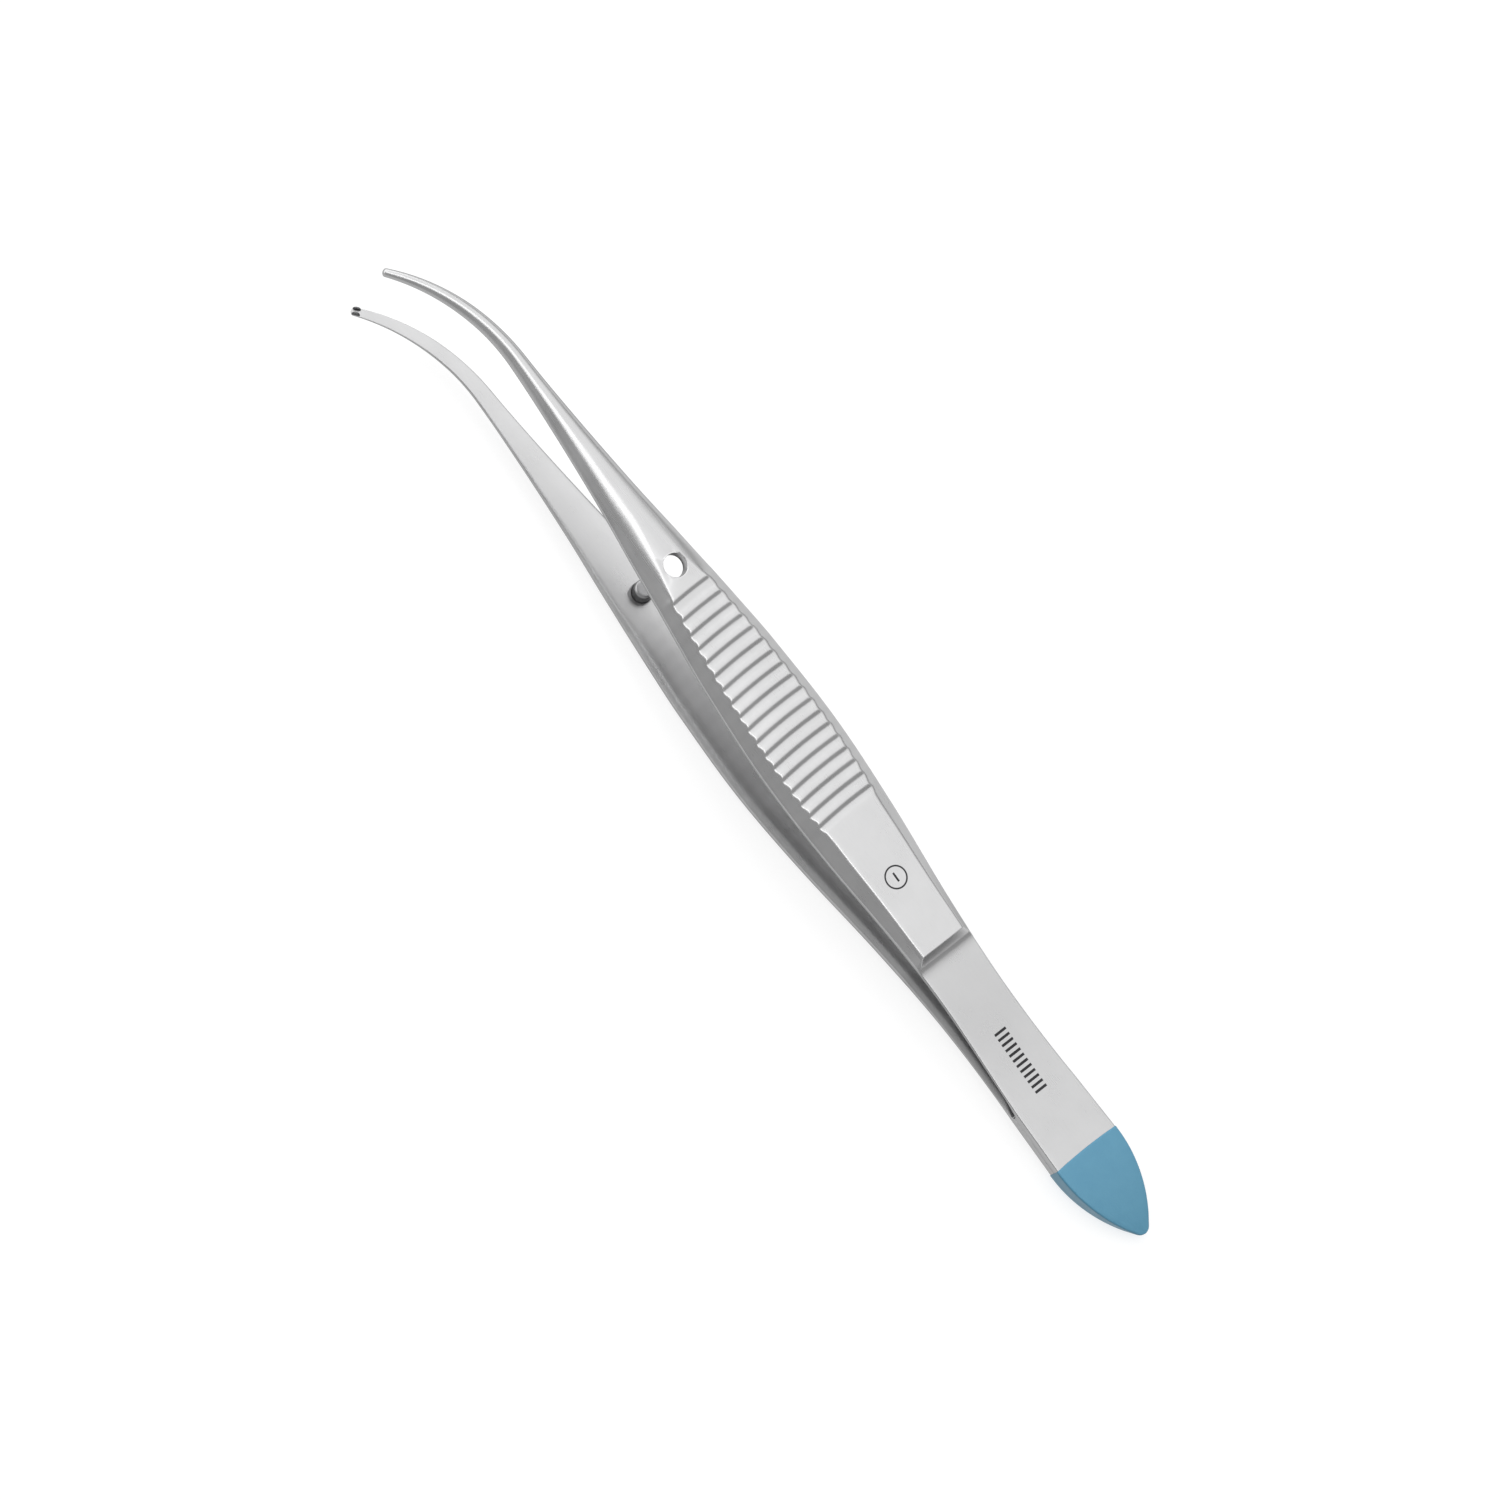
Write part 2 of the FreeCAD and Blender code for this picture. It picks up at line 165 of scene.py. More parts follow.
# A tooth from its sunk root to its blunt top, as (height, length, width), the last two as shares of the root
TOOTH_PROFILE = [(-0.12, 1.0, 1.0), (0.0, 1.0, 1.0), (0.08, 0.9, 0.97), (0.18, 0.74, 0.95),
                 (0.27, 0.56, 0.9), (0.32, 0.46, 0.82), (TOOTH_HEIGHT, 0.34, 0.6)]
TOOTH_SPANS = 24
TOOTH_SQUARENESS = 0.35
WORN_TOP = 0.3

# Length over which the leaf's inner edges go from sharp, at the weld, to softly rounded
SOFTENING = 3.0

# Rise of the blade's outer face in its middle, as a share of the face's half width
CROWN = 0.07

# Kept between the looks and the design's outline, so that no point stands out of it
INSET = 0.004

# A surface counts as a steep side with painted shade between these cosines of its lean from the outward axis
SIDE_STARTS = 0.79
SIDE_FULL = 0.47

# Broken edges of the thin tab and leaf, and the most they take of a small section
THIN_EDGE = 0.07
THIN_BREAK = 0.05
THIN_SHARE = 0.3

# Curve of a section's shoulder, each as (share on the chamfered grip, share on the round blade)
FOOT_OUT = (1 / 3, 0.2)
FOOT_UP = (1 / 3, 0.42)
TOP_OUT = (1 / 3, 0.5)
TOP_DOWN = (1 / 3, 0.08)

# Rounded corners of a section: the inner one as (sharp, soft), the outer one as (on the grip, on the blade)
LOW_ACROSS = (0.02, 1.3)
LOW_ACROSS_SHARE = (0.35, 0.18)
LOW_UP = (0.02, 0.34)
LOW_UP_SHARE = 0.55
MID_CORNER = 0.08
MID_CORNER_SHARE = 0.3
TOP_CORNER = (0.2, 0.8)
TOP_CORNER_SLANT_SHARE = 0.55
TOP_CORNER_FLAT_SHARE = 0.75

# How much sooner the crown and the narrower inner corner come in than the blade's roundness
CROWN_LEAD = 2.5
LOW_LEAD = 2.2

# Places of cross-sections along an arm
APEX_ANGLES = (6, 16, 28, 42, 58, 76)
APEX_ROUNDED = 1.1
LEAF_FIRST_SHARES = [0.0, 0.003, 0.006, 0.009, 0.012, 0.015, 0.018, 0.025]
LEAF_EVEN_FROM = 0.035
STEP_OFFSETS = (0.0, 0.1, 0.2, 0.3, 0.4, 0.48, 0.56, 0.63, 0.69, 0.74, 0.78, 0.83, 0.95)
GRIP_EVEN_FROM = 29.5
CAP_ANGLES = (0, 12, 24, 36, 48, 58, 68, 76, 83)
CAP_LEAN = 0.45
TAB_SPANS = 18
WELDED_SPANS = 12
LEAF_SPANS = 42
FLAT_SPANS = 26
FALL_SPANS = 8
NECK_SPANS = 4
BLADE_SPANS = 64
TIP_SPANS = 52

# Square patch of sections round the guide bore
PATCH_MARGIN = 0.42
PATCH_SPANS = 16

# The grip has its full height past here, a least chamfer this wide, and sides this far below its top
STEP_PASSED = 30.0
LEAST_CHAMFER = 0.06
SIDE_MARGIN = 0.05

# Coat: its corner and lip radii, how far its inside is sunk, and where its front starts to bow
COAT_APEX_ANGLES = (5, 14, 24, 36, 50, 66)
COAT_CORNER = 0.16
COAT_LIP = 0.09
COAT_LIP_CORNER = 0.1
COAT_INNER_CORNER = 0.05
COAT_SINK = 0.01
COAT_BOW_START = 4.0
COAT_EVEN_FROM = 1.0

# Weld seam: where it starts, its most half width, and its uneven bead
SEAM_START = 0.6
SEAM_HALF_WIDTH = 3.1
SEAM_INSET = 0.03
SEAM_WOBBLE = 0.012
SEAM_BULGE = 0.03
SEAM_CROSSING = (-1, -0.6, -0.2, 0.2, 0.6, 1)

# Steel looks
STEEL = (0.52, 0.52, 0.523)
STEEL_ROUGHNESS = 0.3
STEEL_REFLECTED = (0.6, 0.6, 0.6, 1)
# The teeth's steel is painted far darker than the arms': painted shade of the toothed tips
TOOTH_PAINTED_SHADE_STEEL = (0.12, 0.12, 0.123)
PIN_STEEL = (0.34, 0.34, 0.345)
WELD_METAL = (0.6, 0.6, 0.6)
# Painted shade on steep sides: the share of their colour kept along the arms, and on the tab
SIDE_PAINTED_SHADE_TONE = 0.7
TAB_SIDE_PAINTED_SHADE_TONE = 0.95
# Painted shade on the leaf and painted sheen on the grip, as factors on their colour
LEAF_PAINTED_SHADE_TONE = 0.94
GRIP_PAINTED_SHEEN_TONE = 1.05

# Coat colours
BLUE_DEEP = (0.08, 0.265, 0.40, 1)
BLUE_PALE = (0.1, 0.3, 0.435, 1)
# The coat's steep sides are painted this darker blue: painted shade
BLUE_SIDE_PAINTED_SHADE = (0.03, 0.15, 0.23, 1)

# Generic laser marks on the upper arm: a ring with a dash in it, and a row of bars
RING_X = 35.42
RING_RADIUS = 0.94
RING_WIDTH = 0.11
RING_BLUR = 0.03
DASH_HALF_LENGTH = 0.42
DASH_HALF_WIDTH = 0.09
BARS_START = 14.2
BARS_PITCH = 0.52
BARS_COUNT = 12
BARS_HALF_LENGTH = 0.6
BARS_GAP = 0.28
MARKED_ABOVE = 0.5
MARK_COLOUR = (0.02, 0.02, 0.022, 1)
MARK_STRENGTH = 0.95

# Points round one cross-section of an arm
INNER_SPANS = 20
OUTER_SPANS = 16
SHOULDER_SPANS = 8
SIDE_SPANS = 2
CORNER_SPANS = 4


# ---------------------------------------------------------------- placing

def symmetry_frame():
    """Matrix from the shapes' millimetres to the row frame, worked out from the two hinges."""
    hinges = {joint["name"]: Vector(joint["pos_m"]) for joint in frame["joints"]}
    upper, lower = hinges["upper_arm_close"], hinges["lower_arm_close"]
    outwards = (upper - lower).normalized()
    sideways = Vector((0, 1, 0))
    along = sideways.cross(outwards)
    origin = (upper + lower) / 2 - along * (HINGE_X * MM)
    turn = Matrix((along, sideways, outwards)).transposed().to_4x4()
    return Matrix.Translation(origin) @ turn @ Matrix.Scale(MM, 4)


PLACE = symmetry_frame()


def spread(points, position):
    """Value at a position on the smooth curve through (position, value) points."""
    index = 0
    while index < len(points) - 2 and position > points[index + 1][0]:
        index += 1
    (x0, y0), (x1, y1) = points[index], points[index + 1]
    before = points[max(index - 1, 0)]
    after = points[min(index + 2, len(points) - 1)]
    slope0 = (y1 - before[1]) / (x1 - before[0])
    slope1 = (after[1] - y0) / (after[0] - x0)
    span = x1 - x0
    t = (position - x0) / span
    return (y0 * (2 * t ** 3 - 3 * t ** 2 + 1) + slope0 * span * (t ** 3 - 2 * t ** 2 + t)
            + y1 * (3 * t ** 2 - 2 * t ** 3) + slope1 * span * (t ** 3 - t ** 2))


def mix(a, b, t):
    return a + (b - a) * t


def straight(points, position):
    """Value at a position on the straight lines through (position, value) points."""
    for (x0, y0), (x1, y1) in zip(points, points[1:]):
        if position <= x1:
            return mix(y0, y1, (position - x0) / (x1 - x0))
    return points[-1][1]


def ease(t):
    """Smooth step from 0 to 1."""
    t = min(max(t, 0.0), 1.0)
    return t * t * (3 - 2 * t)


def steps(start, end, count):
    """Evenly spaced values from start up to, but without, end."""
    return [start + (end - start) * i / count for i in range(count)]


def mirrored(points):
    """Points of the upper arm moved to the lower one."""
    return [Vector((p.x, p.y, -p.z)) for p in points]


def tube_faces(rows, ring):
    """Faces of a closed tube made of rows of ring points each, with both ends capped."""
    faces = []
    for row in range(rows - 1):
        for i in range(ring):
            k = (i + 1) % ring
            faces.append((row * ring + i, row * ring + k, (row + 1) * ring + k, (row + 1) * ring + i))
    faces.append(tuple(range(ring)))
    faces.append(tuple(reversed(range((rows - 1) * ring, rows * ring))))
    return faces


def new_mesh(name, points, faces, marks=None):
    """Finished mesh in the row frame from points in millimetres; marks are per-point values for materials."""
    mesh = bpy.data.meshes.new(name)
    mesh.from_pydata([PLACE @ Vector(p) for p in points], [], faces)
    mesh.validate()
    rest = mesh.attributes.new("rest_mm", "FLOAT_VECTOR", "POINT")
    for item, point in zip(rest.data, points):
        item.vector = point
    for mark, values in (marks or {}).items():
        layer = mesh.attributes.new(mark, "FLOAT", "POINT")
        for item, value in zip(layer.data, values):
            item.value = value
    obj = bpy.data.objects.new(name, mesh)
    bpy.context.scene.collection.objects.link(obj)
    for polygon in mesh.polygons:
        polygon.use_smooth = True
    finish_mesh(obj)
    return obj


def finish_mesh(obj):
    """Turn every face out of the closed mesh, mark its steep sides, and keep large flat faces flat shaded.

    The mark "side" is 0 where the surface faces along the arms' outward axis, and 1 where it stands upright;
    the materials paint shade onto the sides by it.
    """
    work = bmesh.new()
    work.from_mesh(obj.data)
    bmesh.ops.recalc_face_normals(work, faces=work.faces)
    work.to_mesh(obj.data)
    work.free()
    outwards = (PLACE.to_3x3() @ Vector((0, 0, 1))).normalized()
    layer = obj.data.attributes.new("side", "FLOAT", "POINT")
    for item, vertex in zip(layer.data, obj.data.vertices):
        facing = abs(vertex.normal.dot(outwards))
        item.value = ease((SIDE_STARTS - facing) / (SIDE_STARTS - SIDE_FULL))
    modifier = obj.modifiers.new("even_shading", "WEIGHTED_NORMAL")
    modifier.mode = "FACE_AREA"
    modifier.weight = 60


# ---------------------------------------------------------------- arm shape

def rear_half_width(x, grow=0.0):
    """Half width of the rear outline: a round apex, two ogive arcs, then nearly straight sides."""
    arc_radius = OGIVE_RADIUS + grow
    apex_radius = APEX_RADIUS + grow
    centre_y = TAB_HALF_WIDTH - OGIVE_RADIUS
    reach = math.sqrt((arc_radius - apex_radius) ** 2 - centre_y ** 2)
    apex_centre = TANGENT_X - reach
    if x > TANGENT_X:
        slope = (LEAF_OUTLINE[0][1] - TAB_HALF_WIDTH) / (WELD_FRONT - TANGENT_X)
        return TAB_HALF_WIDTH + grow + slope * (x - TANGENT_X)
    meeting = apex_centre - apex_radius * reach / (arc_radius - apex_radius)
    if x >= meeting:
        return centre_y + math.sqrt(arc_radius ** 2 - (TANGENT_X - x) ** 2)
    return math.sqrt(max(apex_radius ** 2 - (apex_centre - x) ** 2, 0.0))


def rear_apex(grow=0.0):
    """Position of the rear end's very tip."""
    arc_radius = OGIVE_RADIUS + grow
    apex_radius = APEX_RADIUS + grow
    centre_y = TAB_HALF_WIDTH - OGIVE_RADIUS
    return TANGENT_X - math.sqrt((arc_radius - apex_radius) ** 2 - centre_y ** 2) - apex_radius


def rear_half_height(x, grow=0.0):
    """Height of the rear end's outer face, which thins along an arc towards the apex."""
    half = HALF_WELD + TAB_THICKNESS
    radius = THINNING_RADIUS + grow
    back = max(TANGENT_X - x, 0.0)
    return half - THINNING_RADIUS + math.sqrt(radius ** 2 - back ** 2)


def bezier(poles, t):
    """Point on a cubic curve."""
    a, b, c, d = poles
    u = 1 - t
    return a * u ** 3 + b * 3 * u * u * t + c * 3 * u * t * t + d * t ** 3


def arm_axes():
    """Directions along and outwards from an open arm's grip."""
    angle = math.radians(OPEN_ANGLE)
    return Vector((math.cos(angle), 0, math.sin(angle))), Vector((-math.sin(angle), 0, math.cos(angle)))


def leaf_outer_curve():
    """Poles of the leaf's outer curve, from the weld to the grip."""
    along, outward = arm_axes()
    rear = Vector((WELD_FRONT, 0, HALF_WELD + TAB_THICKNESS))
    front = Vector((STEP_X, 0, STEP_INNER_HEIGHT)) + outward * LEAF_THICKNESSES[-1][1]
    reach = (front.x - rear.x) / 3
    return [rear, rear + Vector((reach, 0, 0)), front - along * reach, front]


def leaf_thickness(x):
    """Thickness of the leaf; the slit between the leaves starts with a blunt round end."""
    blunt = 1 - ease((x - WELD_FRONT) / SLIT_START)
    return mix(spread(LEAF_THICKNESSES, x), TAB_THICKNESS, blunt)


def rib_place(index):
    """Position of a rib's steep wall."""
    extra = LAST_RIB_EXTRA if index == RIB_COUNT - 1 else 0.0
    return RIB_FIRST + RIB_PITCH * index + RIB_GROWTH * index ** 2 + extra


def rib_height(x):
    """Height of the ribbed face, 0 on a groove's floor and 1 on a ridge or off the ribs."""
    rise_start, rise_top = RIB_SHAPE[0][0], RIB_SHAPE[7][0]
    if x < RIB_FIRST + rise_start:
        return 1 - ease((x - (RIB_FIRST - FIRST_FALL)) / (FIRST_FALL + rise_start))
    index = RIB_COUNT - 1
    while index > 0 and x < rib_place(index) + rise_start:
        index -= 1
    offset = x - rib_place(index)
    if index == RIB_COUNT - 1 and offset > rise_top:
        return 1.0
    for (x0, h0), (x1, h1) in zip(RIB_SHAPE, RIB_SHAPE[1:]):
        if x0 <= offset <= x1:
            return mix(h0, h1, (offset - x0) / (x1 - x0))
    return 0.0


class Station:
    """One cross-section of an arm: where it stands, its sizes, and how soft, round and skewed it is."""

    def __init__(self, x, base, across, outward, half_width, thickness, side, flat, roundness=0.0,
                 shade=0.0):
        self.x, self.base, self.across, self.outward = x, base, across, outward
        self.half_width, self.flat = half_width - INSET, flat
        self.thickness, self.side = thickness, side
        self.roundness, self.shade = roundness, shade
        self.softness = 1.0
        self.skew = ease((x - SKEW_STARTS) / SKEW_GROWTH) * (1 - ease((x - SKEW_ENDS) / SKEW_FADING))

    def at(self, a, h):
        """Point a to the side of the middle and h above the inner face, moved along the arm by the skew."""
        shift = self.skew * (RIB_BOW * (1 - (a / RIB_BOW_REACH) ** 2) - RIB_SLANT * a)
        along = self.across.cross(self.outward)
        return self.base + self.across * a + self.outward * h + along * shift


def thin_station(x, base, outward, half_width, thickness):
    """Section of the flat tab or leaf, with only slightly broken edges."""
    edge = min(THIN_EDGE, half_width * THIN_SHARE)
    broken = min(THIN_BREAK, thickness * THIN_SHARE)
    station = Station(x, base, Vector((0, 1, 0)), outward, half_width, thickness, thickness - broken,
                      half_width - edge)
    station.softness = 0.0
    return station


def tab_stations():
    apex = rear_apex()
    positions = [apex + APEX_RADIUS * (1 - math.cos(math.radians(angle))) for angle in APEX_ANGLES]
    positions += steps(APEX_ROUNDED, TANGENT_X, TAB_SPANS) + steps(TANGENT_X, WELD_FRONT, WELDED_SPANS)
    stations = []
    for x in positions:
        stations.append(thin_station(x, Vector((x, 0, HALF_WELD)), Vector((0, 0, 1)),
                                     rear_half_width(x), rear_half_height(x) - HALF_WELD))
    return stations


def leaf_stations():
    poles = leaf_outer_curve()
    stations = []
    for share in LEAF_FIRST_SHARES + steps(LEAF_EVEN_FROM, 1, LEAF_SPANS):
        high = bezier(poles, share)
        heading = (bezier(poles, share + 0.001) - bezier(poles, share - 0.001)).normalized()
        outward = heading.cross(Vector((0, 1, 0)))
        thickness = leaf_thickness(high.x)
        scoop = STEP_LIFT * max((high.x - (STEP_X - STEP_SCOOP)) / STEP_SCOOP, 0.0) ** 2
        station = thin_station(high.x, high - outward * thickness, outward, spread(LEAF_OUTLINE, high.x),
                               thickness + scoop)
        station.softness = ease((high.x - WELD_FRONT) / SOFTENING)
        stations.append(station)
    return stations


def grip_positions():
    """Lengthwise places of the grip's sections, closer together at the step and on the ribs."""
    positions = [STEP_X + offset for offset in STEP_OFFSETS]
    first_fall = RIB_FIRST - FIRST_FALL
    positions += steps(GRIP_EVEN_FROM, first_fall, FLAT_SPANS)
    positions += steps(first_fall, RIB_FIRST + RIB_SHAPE[0][0], FALL_SPANS)
    for index in range(RIB_COUNT):
        shape = RIB_SHAPE[:8] if index == RIB_COUNT - 1 else RIB_SHAPE
        positions += [rib_place(index) + offset for offset, _ in shape]
    return sorted(set(round(x, 4) for x in positions))


def grip_stations():
    along, outward = arm_axes()
    origin = Vector((STEP_X, 0, STEP_INNER_HEIGHT))
    stations = []
    for x in grip_positions():
        half_width = spread(GRIP_OUTLINE, x)
        rise = min(max((x - STEP_X) / STEP_RUN, 0.0), 1.0)
        climb = mix(LEAF_THICKNESSES[-1][1] + STEP_LIFT, GRIP_THICKNESS, rise ** STEP_HOLLOW)
        shade = 1 - rib_height(x) if x > STEP_PASSED else 0
        height = climb - RIB_DEPTH * shade
        share = max(height - GRIP_SIDE, 0.0) / (GRIP_THICKNESS - GRIP_SIDE)
        flat = half_width - LEAST_CHAMFER - (straight(GRIP_CHAMFERS, x) - LEAST_CHAMFER) * share
        side = min(GRIP_SIDE, height - SIDE_MARGIN)
        stations.append(Station(x, origin + along * (x - STEP_X), Vector((0, 1, 0)), outward,
                                half_width, height, side, flat, 0.0, shade))
    return stations


def blade_point(x):
    """Point on the blade's middle line and its heading, in the plane of the arm."""
    if x <= TIP_CURVE_X:
        return x, 0.0, 0.0
    turn = (x - TIP_CURVE_X) / TIP_CURVE_RADIUS
    return (TIP_CURVE_X + TIP_CURVE_RADIUS * math.sin(turn), TIP_CURVE_RADIUS * (1 - math.cos(turn)), turn)


def bow(x):
    return max(x - GRIP_FRONT, 0.0) ** 2 / (2 * BOW_RADIUS)


def blade_sizes(x):
    columns = [[(row[0], row[column]) for row in BLADE_SECTIONS] for column in range(1, 5)]
    thickness, side, flat, roundness = [spread(column, x) for column in columns]
    return thickness, side, flat, min(max(roundness, 0.0), 1.0)


def blade_base(x):
    """Middle of the blade's inner face, with the directions across it and outwards."""
    along, outward = arm_axes()
    px, py, turn = blade_point(x)
    base = (Vector((STEP_X, 0, STEP_INNER_HEIGHT)) + along * (px - STEP_X) + Vector((0, py, 0))
            - outward * bow(x))
    across = Vector((0, math.cos(turn), 0)) - along * math.sin(turn)
    return base, across, outward


def hole_positions(radius):
    """Sections through the guide bore's square patch."""
    reach = radius + PATCH_MARGIN
    return [HOLE_X - reach + 2 * reach * i / PATCH_SPANS for i in range(PATCH_SPANS + 1)]


def blade_stations(radius):
    patch = hole_positions(radius)
    positions = steps(GRIP_FRONT, patch[0], NECK_SPANS)[1:] + patch
    positions += steps(patch[-1], TIP_CURVE_X, BLADE_SPANS)[1:] + steps(TIP_CURVE_X, BLADE_END, TIP_SPANS)
    stations = []
    for x in positions:
        base, across, outward = blade_base(x)
        thickness, side, flat, roundness = blade_sizes(x)
        stations.append(Station(x, base, across, outward, spread(BLADE_OUTLINE, x), thickness, side, flat,
                                roundness))
    cap = TIP_END - BLADE_END
    for angle in CAP_ANGLES:
        x = BLADE_END + cap * math.sin(math.radians(angle))
        shrink = math.cos(math.radians(angle))
        lean = mix(CAP_LEAN, 1.0, shrink)
        base, across, outward = blade_base(x)
        thickness, side, flat, roundness = blade_sizes(BLADE_END)
        stations.append(Station(x, base, across, outward, spread(BLADE_OUTLINE, BLADE_END) * shrink,
                                thickness * lean, side * lean, flat * shrink, roundness))
    return stations


def section_points(station):
    """Points round a section as (across, height, edge), edge being 1 on its rounded corners.

    They go along the inner face towards +across, up that side and shoulder, back over the outer face,
    and down the other shoulder and side.
    """
    w, s, t, f, k = (station.half_width, station.side, station.thickness, station.flat, station.roundness)
    crown = CROWN * f * min(CROWN_LEAD * k, 1.0)
    foot_out, foot_up = mix(*FOOT_OUT, k), mix(*FOOT_UP, k)
    top_out, top_down = mix(*TOP_OUT, k), mix(*TOP_DOWN, k)
    poles = [Vector((w, s)), Vector((w - foot_out * (w - f), s + foot_up * (t - s))),
             Vector((f + top_out * (w - f), t - crown - top_down * (t - s))), Vector((f, t - crown))]
    slant = (poles[3] - poles[0]).length
    low_share = mix(*LOW_ACROSS_SHARE, min(LOW_LEAD * k, 1.0))
    low_across = min(mix(*LOW_ACROSS, station.softness), low_share * w)
    low_up = min(mix(*LOW_UP, station.softness), LOW_UP_SHARE * s)
    mid_corner = min(MID_CORNER, MID_CORNER_SHARE * slant, MID_CORNER_SHARE * s)
    top_corner = min(mix(*TOP_CORNER, k * k), TOP_CORNER_SLANT_SHARE * slant, TOP_CORNER_FLAT_SHARE * f)
    start, stop = mid_corner / slant, 1 - top_corner / slant

    def corner(before, tip, after):
        """Rounded corner's inside points."""
        found = []
        for i in range(1, CORNER_SPANS):
            t01 = i / CORNER_SPANS
            u = 1 - t01
            found.append(before * (u * u) + tip * (2 * u * t01) + after * (t01 * t01))
        return found

    half = []
    inner_end = Vector((w - low_across, 0))
    side_start, side_end = Vector((w, low_up)), Vector((w, s - mid_corner))
    shoulder = [bezier(poles, mix(start, stop, i / SHOULDER_SPANS)) for i in range(SHOULDER_SPANS + 1)]
    flat_end = f - top_corner
    outer_start = Vector((flat_end, t - crown * (flat_end / f) ** 2))
    half += [(p, 0.0) for p in corner(inner_end, Vector((w, 0)), side_start)]
    half += [(side_start.lerp(side_end, i / SIDE_SPANS), 0.5 if i == SIDE_SPANS else 0.0)
             for i in range(SIDE_SPANS + 1)]
    half += [(p, 1.0) for p in corner(side_end, poles[0], shoulder[0])]
    half += [(p, 0.5 if i in (0, SHOULDER_SPANS) else 0.0) for i, p in enumerate(shoulder)]
    half += [(p, 1.0) for p in corner(shoulder[-1], poles[3], outer_start)]
    inner = [(mix(-inner_end.x, inner_end.x, i / INNER_SPANS), 0.0, 0.0) for i in range(INNER_SPANS + 1)]
    outer = []
    for i in range(OUTER_SPANS + 1):
        a = mix(flat_end, -flat_end, i / OUTER_SPANS)
        outer.append((a, t - crown * (a / f) ** 2, 0.5 if i in (0, OUTER_SPANS) else 0.0))
    rising = [(p.x, p.y, e) for p, e in half]
    falling = [(-p.x, p.y, e) for p, e in reversed(half)]
    return inner + rising + outer + falling


OUTER_START = INNER_SPANS + 1 + (CORNER_SPANS - 1) * 3 + (SIDE_SPANS + 1) + (SHOULDER_SPANS + 1)


def arm_mesh(name, side, radius):
    """Whole arm as one closed mesh; side is 1 for the upper arm and -1 for the lower, radius its bore's."""
    stations = tab_stations() + leaf_stations() + grip_stations() + blade_stations(radius)
    points, edges, shades = [], [], []
    for station in stations:
        for a, h, edge in section_points(station):
            points.append(station.at(a, h))
            edges.append(edge)
            shades.append(station.shade)
    ring = len(points) // len(stations)
    patch = [round(x, 4) for x in hole_positions(radius)]
    first = min(range(len(stations)), key=lambda i: abs(stations[i].x - patch[0]))
    last = first + len(patch) - 1
    inner_low = (INNER_SPANS - OUTER_SPANS) // 2
    inner_high = inner_low + OUTER_SPANS

    def cut_away(i, j):
        if not first <= i < last:
            return False
        return inner_low <= j < inner_high or OUTER_START <= j < OUTER_START + OUTER_SPANS

    faces = []
    for i in range(len(stations) - 1):
        for j in range(ring):
            if not cut_away(i, j):
                k = (j + 1) % ring
                faces.append((i * ring + j, i * ring + k, (i + 1) * ring + k, (i + 1) * ring + j))
    faces.append(tuple(reversed(range(ring))))
    faces.append(tuple(range((len(stations) - 1) * ring, len(stations) * ring)))

    centre, across, outward = blade_base(HOLE_X)
    along = across.cross(outward)
    centre = centre + across * GUIDE_Y

    def border(columns):
        """Point numbers round the patch: along the first section, then forward, back and rearward."""
        low, high = columns[0], columns[-1]
        loop = [first * ring + j for j in columns]
        loop += [i * ring + high for i in range(first + 1, last + 1)]
        loop += [last * ring + j for j in reversed(columns[:-1])]
        loop += [i * ring + low for i in range(last - 1, first, -1)]
        return loop

    outer_border = border(list(range(OUTER_START + OUTER_SPANS, OUTER_START - 1, -1)))
    inner_border = border(list(range(inner_low, inner_high + 1)))
    thickness = blade_sizes(HOLE_X)[0]

    def loop_on(border_loop, share, ring_radius, height, mark):
        """New ring of points: a share of the way from the border to a circle of ring_radius."""
        numbers = []
        for number in border_loop:
            start = points[number]
            offset = start - centre
            a, l = offset.dot(across), offset.dot(along)
            size = math.hypot(a, l)
            target = centre + (across * (a / size) + along * (l / size)) * ring_radius
            if height is None:
                target = target + outward * offset.dot(outward)
            else:
                target = target + outward * height
            numbers.append(len(points))
            points.append(start.lerp(target, share))
            edges.append(mark)
            shades.append(0.0)
        return numbers

    def bridge(one, two):
        for i in range(len(one)):
            k = (i + 1) % len(one)
            faces.append((one[i], one[k], two[k], two[i]))

    rim = radius + BORE_EDGE
    sink = COUNTERSINK if side > 0 else BORE_EDGE
    loops = [outer_border]
    for share in (0.3, 0.6, 0.85, 1.0):
        loops.append(loop_on(outer_border, share, rim, None, 0.0))
    loops.append(loop_on(outer_border, 1.0, radius + BORE_EDGE * 0.3, thickness - BORE_EDGE * 0.3, 1.0))
    loops.append(loop_on(outer_border, 1.0, radius, thickness - BORE_EDGE, 0.5))
    loops.append(loop_on(outer_border, 1.0, radius, thickness * 0.5, 0.0))
    loops.append(loop_on(inner_border, 1.0, radius, sink, 0.5))
    loops.append(loop_on(inner_border, 1.0, radius + sink * 0.1, sink * 0.86, 0.5))
    loops.append(loop_on(inner_border, 1.0, radius + sink * 0.9, sink * 0.08, 0.5))
    for share in (1.0, 0.7, 0.35):
        loops.append(loop_on(inner_border, share, radius + sink, None, 0.0))
    loops.append(inner_border)
    for one, two in zip(loops, loops[1:]):
        bridge(one, two)

    if side < 0:
        points = mirrored(points)
    # The groove values darken the groove floors in the material, as painted shade
    return new_mesh(name, points, faces, {"edge": edges, "groove": shades})


# ---------------------------------------------------------------- small pieces

